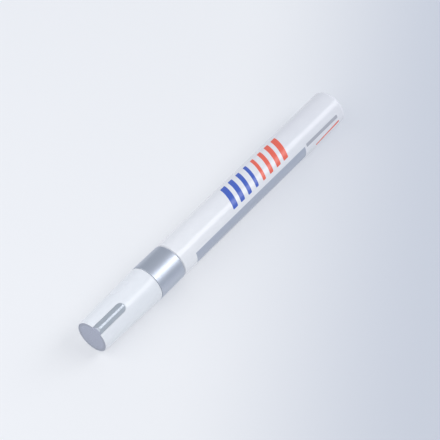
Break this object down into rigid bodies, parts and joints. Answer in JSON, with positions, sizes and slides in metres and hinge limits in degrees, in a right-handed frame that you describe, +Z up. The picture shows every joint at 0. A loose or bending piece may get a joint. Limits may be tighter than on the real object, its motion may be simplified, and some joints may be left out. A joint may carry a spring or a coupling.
{
  "type": "paint marker",
  "caption": "Capped valve-action paint marker: round white aluminium barrel, silver collar ring and tapered pull-off cap with a grey end plug.",
  "frame": {"origin": "on the surface that the marker lies on, under the middle of its length", "axes": "+X along the marker from the cap end to the barrel's rear end, +Z up"},
  "size_m": [0.14, 0.0148, 0.0148],
  "materials": {
    "barrel_lacquer": "gloss white lacquer with a printed side",
    "collar_metal": "satin silver",
    "holder_plastic": "natural moulded",
    "nib_fibre": "pressed fibre",
    "valve_plastic": "natural moulded",
    "spring_steel": "drawn wire",
    "ball_steel": "polished",
    "cap_plastic": "gloss white",
    "liner_plastic": "natural moulded",
    "plug_plastic": "silver-grey moulded"
  },
  "bodies": {
    "barrel": {"barrel_tube": "barrel_lacquer", "collar_ring": "collar_metal", "nib_holder": "holder_plastic", "valve_seat": "valve_plastic", "valve_cage": "valve_plastic", "valve_spring": "spring_steel"},
    "nib_group": {"nib": "nib_fibre", "valve_stem": "valve_plastic"},
    "ball": {"mixing_ball": "ball_steel"},
    "cap": {"cap_shell": "cap_plastic", "cap_liner": "liner_plastic", "cap_plug": "plug_plastic"}
  },
  "joints": [
    {"name": "cap_pull", "type": "slide", "parent": "barrel", "child": "cap", "axis": [-1, 0, 0], "range_m": [0, 0.045]},
    {"name": "nib_press", "type": "slide", "parent": "barrel", "child": "nib_group", "axis": [1, 0, 0], "range_m": [0, 0.0022], "stiffness_N_per_m": 400, "springref_m": -0.002, "deforming": ["valve_spring"]},
    {"name": "ball_roll", "type": "slide", "parent": "barrel", "child": "ball", "axis": [1, 0, 0], "range_m": [-0.0848, 0]}
  ]
}
